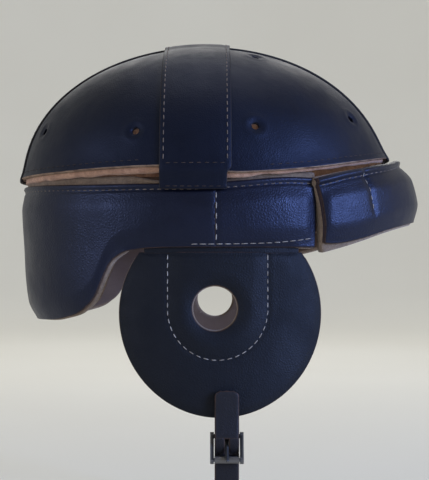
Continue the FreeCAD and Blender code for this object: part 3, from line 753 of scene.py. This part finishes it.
band_seam = (seam_x, 3.0, 31.0, 0.45)
rear_skin = Padding(band_a, band_b, band_top, band_bottom, swell=1.4, sink=1.1, row_gap=BAND_ROW_GAP,
                    lip=0.5, end_gap=lambda x: 30.0 + 0 * x, seam=band_seam, curl=band_curl,
                    cover_lift=lambda x: 0.9 * (1 - smoothstep(-66.0, -52.0, x)))
side_skin = Padding(band_a, band_b, band_top, band_bottom, swell=1.9, sink=1.1, row_gap=BAND_ROW_GAP,
                    lip=0.5, end_gap=lambda x: np.clip(BAND_END_X - x, 0, 30.0), seam=band_seam,
                    curl=band_curl)
pad_low_lift = smooth_line([(58, 6.8), (62, 6.2), (66, 4.6), (71, 3.1), (77, 2.2), (86, 1.5), (104, 1.2),
                            (130, 0.9)])
pad_skin = Padding(pad_a, pad_b, pad_top, pad_bottom, swell=2.7, sink=1.8, row_gap=PAD_ROW_GAP, lip=1.5,
                   end_gap=lambda x: np.clip(x - PAD_START_X, 0, 30.0), seam=(pad_seam_x, 21.0, 46.0, 0.8),
                   curl=lambda x: 0.5 + 0 * x, cover_lift=pad_low_lift)

seam_angle = angle_at(SEAM_X, SEAM_A)
around = np.linspace(-seam_angle, -(2 * math.pi - seam_angle), 320)
padded_piece("rear_band", "rear_band_%s", rear_skin, around, BAND_FELT, count=68,
             tuck=band_tuck, stand=band_stand)
for side_name, side in SIDES.items():
    around = np.linspace(seam_angle, angle_at(BAND_END_X, BAND_END_A), 80) * side
    padded_piece("side_band_" + side_name, "side_band_%s_" + side_name, side_skin, around, BAND_FELT,
                 count=48, tuck=band_tuck, stand=band_stand)

end = angle_at(PAD_START_X, PAD_START_A)
padded_piece("forehead_pad", "forehead_pad_%s", pad_skin, np.linspace(-end, end, 240), PAD_FELT,
             count=56, lean=PAD_LEAN)

# The leather folds round each end of the forehead pad.
for side_name, side in SIDES.items():
    depth = np.linspace(0, 1, 12)[:, None]
    angles, z = pad_skin.rows(np.array([end * side]), 40, pad_low_lift, PAD_LEAN)
    bow = np.sin(depth * math.pi) ** 0.5
    grids = [pad_skin.point(angles * (1 + (0.0012 + thick * bow)), z, 0.9 + depth * 8.6)[0]
             for thick in (0.007, 0.0)]
    fold = shell("forehead_pad_end_" + side_name, grids[0], grids[1], [FOLD, CUT])
    dress(fold, "helmet", "black_leather")

# Sweatband inside the band.
around = np.linspace(0, 2 * math.pi, 260, endpoint=False)
sweat_low = smooth_line([(-150, 6.0), (20, 6.0), (62, 9.0), (85, 15.0), (106, 20.0), (150, 26.0)])
low = sweat_low(MID_X + 103.0 * np.cos(around))[:, None]
z = low + (SWEATBAND_TOP - low) * np.linspace(0, 1, 16)[None, :]
outer = ring_point(band_a, band_b, around[:, None] + 0 * z, z, SWEATBAND_OUT)
inner = ring_point(band_a, band_b, around[:, None] + 0 * z, z, SWEATBAND_IN)
sweatband = shell("sweatband_leather", outer, inner, [TAN, TAN_CUT], closed=True)
dress(sweatband, "helmet", "tan_leather", "sweatband")

# ---- Ear flaps


def flap_depth(x, inset):
    """How far out the flap's face is at x, set in by inset mm."""
    return (FLAP_B - inset) * np.sqrt(np.clip(1 - ((x - MID_X) / (FLAP_A - inset)) ** 2, 0, 1))


def flap_grid(top):
    """A round grid in side view, from the ear hole out to the flap's outline, which is cut off level at
    top. It has a column at each corner there."""
    turn = np.linspace(0, 2 * math.pi, 240, endpoint=False)
    corner = [math.atan2(top - EAR_Z, FLAP_X + s * math.sqrt(FLAP_R**2 - (top - FLAP_Z) ** 2) - EAR_X)
              for s in (-1, 1)]
    for c in corner:
        k = np.argmin(np.abs(np.angle(np.exp(1j * (turn - c)))))
        turn[k] = c % (2 * math.pi)
    ux, uz = np.cos(turn), np.sin(turn)
    dx, dz = EAR_X - FLAP_X, EAR_Z - FLAP_Z
    b = dx * ux + dz * uz
    reach = -b + np.sqrt(b * b - (dx * dx + dz * dz - FLAP_R**2))
    with np.errstate(divide="ignore"):
        to_top = np.where(uz > 0.05, (top - EAR_Z) / np.maximum(uz, 0.05), 1e9)
    reach = np.minimum(reach, to_top)
    share = np.linspace(0, 1, 40)
    radius = EAR_R + (reach[:, None] - EAR_R) * share[None, :]
    return EAR_X + radius * ux[:, None], EAR_Z + radius * uz[:, None], radius, reach[:, None]


def u_distance(x, z):
    """Distance outside (+) or inside (-) the U of stitches round the ear hole."""
    below = np.hypot(x - U_X, z - U_Z) - U_HALF
    beside = np.abs(x - U_X) - U_HALF
    return np.where(z < U_Z, below, beside)


def flap_surface(x, z, radius, reach):
    """The cover's face: pressed in along the stitches, domed between them and rolled at its edges."""
    gap = u_distance(x, z)
    stitch_press = -U_PRESS * np.exp(-(gap / 1.2) ** 2)
    dome = FLAP_SWELL * smoothstep(0, 9, -gap) * smoothstep(0.5, 8.0, radius - EAR_R)
    dome = dome + FLAP_SWELL * 0.7 * smoothstep(0, 12, gap) * smoothstep(0.5, 12.0, reach - radius)
    rolled = -1.1 * np.exp(-((reach - radius) / 2.4) ** 2) - 0.8 * np.exp(-((radius - EAR_R) / 1.8) ** 2)
    return flap_depth(x, 0.0) + stitch_press + dome + rolled


def ear_flap(body, side_name, side):
    """Cover, felt and lining of one ear flap."""
    x, z, radius, reach = flap_grid(FLAP_TOP)
    outer_y = flap_surface(x, z, radius, reach)
    outer = np.stack([x, side * outer_y, z], -1)
    inner = np.stack([x, side * (outer_y - FLAP_LEATHER), z], -1)
    cover = shell(body + "_cover", outer, inner, [FLAP_BLACK, CUT], closed=True, roll=0.4)
    dress(cover, body, "black_leather", "ear_flap_cover_" + side_name)
    x, z, radius, reach = flap_grid(FLAP_FELT_TOP)
    cover_in = flap_surface(x, z, radius, reach) - FLAP_LEATHER
    back = flap_depth(x, FLAP_LEATHER + FLAP_FELT) - 0.5 * smoothstep(0, 10, reach - radius)
    felt_outer = np.stack([x, side * cover_in, z], -1)
    felt_inner = np.stack([x, side * back, z], -1)
    core = shell(body + "_felt", felt_outer, felt_inner, [FELT, FELT], closed=True, roll=0.5)
    dress(core, body, "felt", "ear_flap_felt_" + side_name)
    lining_in = np.stack([x, side * (back - FLAP_LINING), z], -1)
    lining = shell(body + "_lining", felt_inner, lining_in, [TAN, TAN_CUT], closed=True)
    dress(lining, body, "tan_leather", "ear_flap_lining_" + side_name)


def hinge_leather(side_name, side):
    """The strip from inside the band to inside the flap."""
    x = np.linspace(-34.0, 50.7, 60)[:, None]
    z = np.linspace(-3.2, 4.0, 12)[None, :]
    depth = flap_depth(x, HINGE_INSET) + 0 * z
    outer = np.stack([x + 0 * z, side * depth, z + 0 * x], -1)
    inner = np.stack([x + 0 * z, side * (depth - HINGE_THICK), z + 0 * x], -1)
    hinge = shell("hinge_leather_" + side_name, outer, inner, [FLAP_BLACK, CUT])
    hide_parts("ear_flap_hinge_" + side_name)
    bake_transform(hinge)


for side_name, side in SIDES.items():
    ear_flap("ear_flap_" + side_name, side_name, side)
    hinge_leather(side_name, side)

# ---- Chin strap and buckle

# From the strap's tip down through the buckle, as (out from the tab's face, z), then as (y, z) under
# the chin and up to the left flap.
STRAP_ROUTE = [(3.1, -77.8), (3.1, -82), (3.2, -88), (3.8, -93), (4.9, -98), (5.6, -102), (4.9, -105.5),
               (3.1, -109.4), (1.0, -114), (0.0, -120)]
LOOP_ROUTE = [(-80.5, -137), (-66, -156), (-38, -168.5), (0, -172.5), (38, -168.5), (66, -156), (81, -136),
              (86.0, -114), (86.75, -98), (86.75, -87), (86.75, -76.0)]


def smooth_route(points, count):
    """Even points along a smooth curve in the plane across the helmet."""
    points = np.array(points, float)
    chord = running_length(points)
    lines = [smooth_line(np.stack([chord, points[:, c]], 1)) for c in (0, 1)]
    fine = np.linspace(0, chord[-1], count * 8)
    dense = np.stack([line(fine) for line in lines], 1)
    run = running_length(dense)
    even = np.linspace(0, run[-1], count)
    return np.stack([np.interp(even, run, dense[:, c]) for c in (0, 1)], 1)


def ribbon(name, route, low_x, high_x, thick, rows=13, round_tip=False):
    """A flat strap along a route in the plane across the helmet. Its faces are slightly domed, and
    round_tip rounds the corners of its first end."""
    tangent = unit(np.gradient(route, axis=0))
    normal = np.stack([tangent[:, 1], -tangent[:, 0]], 1)
    middle, half = (low_x + high_x) / 2, (high_x - low_x) / 2
    share = np.linspace(-1, 1, rows)
    dome = STRAP_DOME * (1 - share**2)
    width = np.full(len(route), half)
    if round_tip:
        beyond = 1 - np.clip(running_length(route) / STRAP_CORNER, 0, 1)
        width = half - STRAP_CORNER * (1 - np.sqrt(np.clip(1 - beyond**2, 0, 1)))
    x = middle + share[None, :] * width[:, None]
    grids = []
    for face in (1, -1):
        offset = face * (thick / 2 - 0.12 + dome[None, :] * 0.5)
        yz = route[:, None, :] + normal[:, None, :] * offset[..., None]
        grids.append(np.concatenate([x[..., None], yz], -1))
    return shell(name, grids[0], grids[1], [STRAP_BLACK, CUT], roll=0.6)


right_route = [(-TAB_FACE - out, z) for out, z in STRAP_ROUTE]
whole = smooth_route(right_route + LOOP_ROUTE, 340)
middle = int(np.argmin(np.abs(whole[:, 0])))
slot_high = int(np.argmin(np.abs(whole[:60, 1] - SLOT_TOP)))
slot_low = int(np.argmin(np.abs(whole[:80, 1] - SLOT_FOOT)))
half_x = STRAP_WIDTH / 2 - 0.45
strap_low, strap_high = STRAP_X - half_x, STRAP_X + half_x
slot_low_x, slot_high_x = STRAP_X - SLOT_HALF, STRAP_X + SLOT_HALF
beside_slot = whole[slot_high:slot_low + 1]
right_parts = [
    ribbon("strap_tip", whole[:slot_high + 1], strap_low, strap_high, STRAP_THICK, round_tip=True),
    ribbon("strap_slot_a", beside_slot, strap_low, slot_low_x, STRAP_THICK),
    ribbon("strap_slot_b", beside_slot, slot_high_x, strap_high, STRAP_THICK),
    ribbon("strap_run", whole[slot_low:middle + 1], strap_low, strap_high, STRAP_THICK)]
strap_right = join("chin_strap_right_half", right_parts)
strap_left = ribbon("chin_strap_left_half", whole[middle:], strap_low, strap_high, STRAP_THICK)
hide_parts("chin_strap")
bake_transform(strap_right)
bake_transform(strap_left)

# The buckle tab runs down the flap, round the heel bar and up behind itself, in two halves with a gap
# between them for the prong's ring.
HEEL_Y, HEEL_Z = -TAB_FACE - 0.9, -102.0
turns = np.linspace(0, 1.5 * math.pi, 26)
loop = [(HEEL_Y - EYE_R * math.sin(t + math.pi / 2), HEEL_Z + EYE_R * math.cos(t + math.pi / 2))
        for t in turns]
tab_line = smooth_route([(HEEL_Y + 0.1, -79.0), (HEEL_Y + 0.1, -88.0), (HEEL_Y - 0.1, -94.0),
                         (HEEL_Y - 0.9, -98.6), (HEEL_Y - EYE_R, HEEL_Z)], 30)
back_line = smooth_route([loop[-1], (HEEL_Y + 2.1, -99.6), (HEEL_Y + 2.5, -96.5), (HEEL_Y + 2.5, -94.0)], 12)
cut_at = int(np.argmin(np.abs(tab_line[:, 1] + 97.6)))
lower = np.concatenate([tab_line[cut_at:-1], np.array(loop), back_line[1:]])
tab_parts = [
    ribbon("tab_top", tab_line[:cut_at + 1], strap_low, strap_high, TAB_THICK, round_tip=True),
    ribbon("tab_loop_a", lower, strap_low, STRAP_X - TAB_SLOT_HALF, TAB_THICK, rows=7),
    ribbon("tab_loop_b", lower, STRAP_X + TAB_SLOT_HALF, strap_high, TAB_THICK, rows=7)]
dress(join("buckle_tab_leather", tab_parts), "ear_flap_right", "black_leather", "buckle_tab")

for node in ("buckle_frame", "buckle_roller", "buckle_prong"):
    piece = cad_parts[node]
    piece.data.materials.clear()
    piece.data.materials.append(ENAMEL)
    bevel = piece.modifiers.new("edge", "BEVEL")
    bevel.width = 0.0006
    bevel.segments = 2
    bevel.limit_method = "ANGLE"

# ---- Stitching


def runs(mask):
    """The index runs where mask holds, short ones left out."""
    ends = np.flatnonzero(np.diff(np.r_[0, mask.astype(int), 0]))
    return [np.arange(a, b) for a, b in zip(ends[::2], ends[1::2]) if b - a > 3]


def strap_rows(name, grid, half, thread, shown, **size):
    """The two rows along a crown strap, where shown(path) holds."""
    normals = outward_normals(grid)
    for tag, share in (("a", ROW_INSET / (2 * half)), ("b", 1 - ROW_INSET / (2 * half))):
        k = share * (grid.shape[1] - 1)
        i, f = int(k), k - int(k)
        path = grid[:, i] * (1 - f) + grid[:, i + 1] * f
        for number, keep in enumerate(runs(shown(path))):
            sew("%s_%s_%d" % (name, tag, number), (path[keep], normals[keep, i]), thread, **size)


strap_rows("cross_strap_stitch", cross_grid, CROSS_HALF, THREAD,
           lambda p: p[:, 2] > 46.0, length=3.0, gap=1.5, radius=0.28)
strap_rows("fore_aft_stitch", fore_aft_grid, FORE_AFT_HALF, BROWN_THREAD,
           lambda p: (np.abs(p[:, 0] - CROSS_X) > CROSS_HALF + 1.5) & (p[:, 2] > crown_edge(p[:, 0])),
           length=3.0, gap=1.4, radius=0.2)

# Across each tab of the cross strap: a row over the crown's edge, and one at its lower end.
for side_name, side in SIDES.items():
    normals = outward_normals(cross_grid)
    for tag, height in (("upper", 44.9), ("lower", TAB_BOTTOM + 1.6)):
        level = np.abs(cross_grid[:, 8, 2] - height) + 1000 * (cross_grid[:, 8, 1] * side < 0)
        i = int(np.argmin(level))
        sew("tab_%s_stitch_%s" % (tag, side_name), (cross_grid[i, 1:-1], normals[i, 1:-1]), BROWN_THREAD,
            length=2.6, gap=1.3, radius=0.24)

# A row round the crown, 3 mm above its edge.
for part, (first, last) in {"front": (-72.0, 72.0), "rear": (108.0, 252.0)}.items():
    around = np.radians(np.linspace(first, last, 200))
    for piece, keep in enumerate(runs(np.abs(110.0 * np.sin(around)) > 22.0)):
        grid = crown_grid(around[keep], 60, 0.05, -3.0)
        normals = outward_normals(grid)
        sew("crown_edge_stitch_%s_%d" % (part, piece), (grid[:, 0], normals[:, 0]), BROWN_THREAD,
            length=2.4, gap=2.0, radius=0.22)

# The rows on the band and the pad: under the top edges, along the low edge, and down each seam.
around = np.linspace(-seam_angle, -(2 * math.pi - seam_angle), 300)
sew("rear_band_top_stitch", rear_skin.line_under_top(around, BAND_ROW_GAP), THREAD, length=2.6, gap=1.5,
    radius=0.26)
low_row = smooth_line([(-9, 1.5), (20, 1.8), (38, 2.5), (50, 3.7), (60, 5.2)])
for side_name, side in SIDES.items():
    around = np.linspace(seam_angle, angle_at(BAND_END_X - 2, BAND_END_A), 90) * side
    sew("side_band_top_stitch_" + side_name, side_skin.line_under_top(around, BAND_ROW_GAP), THREAD,
        length=2.6, gap=1.5, radius=0.26)
    x = np.linspace(-9.0, 58.5, 80)
    around = np.arccos((x - MID_X) / 112.2) * side
    sew("band_low_stitch_" + side_name, side_skin.point(around, low_row(x)), BRIGHT_THREAD, length=3.8,
        gap=0.5, radius=0.24)
    z = np.linspace(31.0, 2.6, 40)
    around = np.arccos((SEAM_STITCH_X - MID_X) / band_a(z)) * side
    sew("band_seam_stitch_" + side_name, side_skin.point(around, z), BRIGHT_THREAD, length=3.6, gap=1.5,
        radius=0.30)
    z = np.linspace(43.6, 21.0, 40)
    around = np.arccos((pad_seam_x(z) - MID_X) / pad_a(z)) * side
    sew("pad_seam_stitch_" + side_name, pad_skin.point(around, z), BRIGHT_THREAD, length=3.0, gap=1.3,
        radius=0.24)

end = angle_at(PAD_START_X + 1, PAD_START_A)
sew("pad_top_stitch", pad_skin.line_under_top(np.linspace(-end, end, 240), PAD_ROW_GAP), THREAD,
    length=2.6, gap=1.9, radius=0.26)

# The U round each ear hole.
for side_name, side in SIDES.items():
    down = np.linspace(-3.5, U_Z, 20)
    arc = np.radians(np.linspace(180, 360, 60))
    u_x = np.r_[np.full(20, U_X - U_HALF), U_X + U_HALF * np.cos(arc), np.full(20, U_X + U_HALF)]
    u_z = np.r_[down, U_Z + U_HALF * np.sin(arc), down[::-1]]
    depth = flap_depth(u_x, 0.0) - U_PRESS
    path = np.stack([u_x, side * depth, u_z], 1)
    facing = unit(np.stack([(u_x - MID_X) / FLAP_A**2, side * depth / FLAP_B**2, 0 * u_x], 1))
    sew("ear_flap_u_stitch_" + side_name, (path, facing), BRIGHT_THREAD, length=3.1, gap=1.2, radius=0.27,
        body="ear_flap_" + side_name)

# ---- Stage, lights and camera

FLOOR = whole[:, 1].min() - 3.0


def backdrop():
    """A pale round floor that curves up into a wall on every side. It glows as painted light, faint at the
    front and strong at the back.
    """
    n = Nodes("pale_paper")
    cloud = n.noise(1.2, 3.0)
    colour = n.mix(n.ranged(cloud, 0.3, 0.7, 0.0, 1.0), (0.470, 0.457, 0.408, 1), (0.490, 0.480, 0.434, 1))
    place = n.new("SeparateXYZ", Vector=n.coords).outputs["Y"]
    # Painted light: the backdrop glows, faint at the front and strong at the back.
    n.put(n.bsdf.inputs["Emission Color"], colour)
    n.put(n.bsdf.inputs["Emission Strength"], n.ranged(place, -0.6, 0.9, 0.20, 0.66))
    n.finish(colour, 0.9, n.bump(n.noise(300.0), 0.0002, 0.2))
    profile = [(r, 0.0) for r in (0.01, 600.0, 1200.0, 1800.0)]
    profile += [(1800 + 1400 * math.sin(t), 1400 * (1 - math.cos(t)))
                for t in np.linspace(0.1, math.pi / 2, 20)]
    profile.append((3200.0, 4200.0))
    turns = np.linspace(0, 2 * math.pi, 96, endpoint=False)
    points = [(r * math.cos(t), r * math.sin(t), FLOOR + z) for t in turns for r, z in profile]
    rows, total = len(profile), len(points)
    faces = [(i + k, i + k + 1, (i + k + 1 + rows) % total, (i + k + rows) % total)
             for i in range(0, total, rows) for k in range(rows - 1)]
    make_mesh("backdrop", np.array(points), faces, [n.material])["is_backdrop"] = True


def area_light(name, place, size, power, colour):
    """A soft lamp that faces the middle of the helmet, in metres and watts."""
    data = bpy.data.lights.new(name, "AREA")
    data.shape = "RECTANGLE"
    data.size, data.size_y = size
    data.energy = power
    data.color = colour
    lamp = place_object(name, data)
    lamp.location = place
    lamp.rotation_euler = (-Vector(place)).to_track_quat("-Z", "Y").to_euler()


backdrop()
area_light("window_right", (1.30, -0.84, 0.34), (0.46, 0.72), 27.0, (0.34, 0.50, 1.0))
area_light("window_left", (-1.30, -0.86, 0.34), (0.40, 0.60), 6.5, (0.60, 0.70, 1.0))
area_light("ceiling", (0.0, 0.3, 1.7), (1.2, 1.2), 7.0, (0.95, 0.96, 1.0))
area_light("room_back", (0.0, 1.5, 1.0), (1.4, 0.8), 7.0, (1.0, 0.98, 0.95))

world = bpy.data.worlds.new("room")
world.use_nodes = True
world.node_tree.nodes["Background"].inputs[0].default_value = (0.90, 0.93, 1.0, 1)
world.node_tree.nodes["Background"].inputs[1].default_value = 0.16
bpy.context.scene.world = world

camera_data = bpy.data.cameras.new("camera")
camera_data.sensor_width = 36.0
camera_data.lens = 82.26
camera = place_object("camera", camera_data)
camera.location = (0.00434, -0.680, -0.0081)
camera.rotation_euler = (math.radians(91.15), 0, 0)
bpy.context.scene.camera = camera
bpy.context.scene.view_settings.view_transform = "Standard"

low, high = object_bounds()
{"cad": [list(cad_low), list(cad_high)], "visual": [list(low), list(high)]}
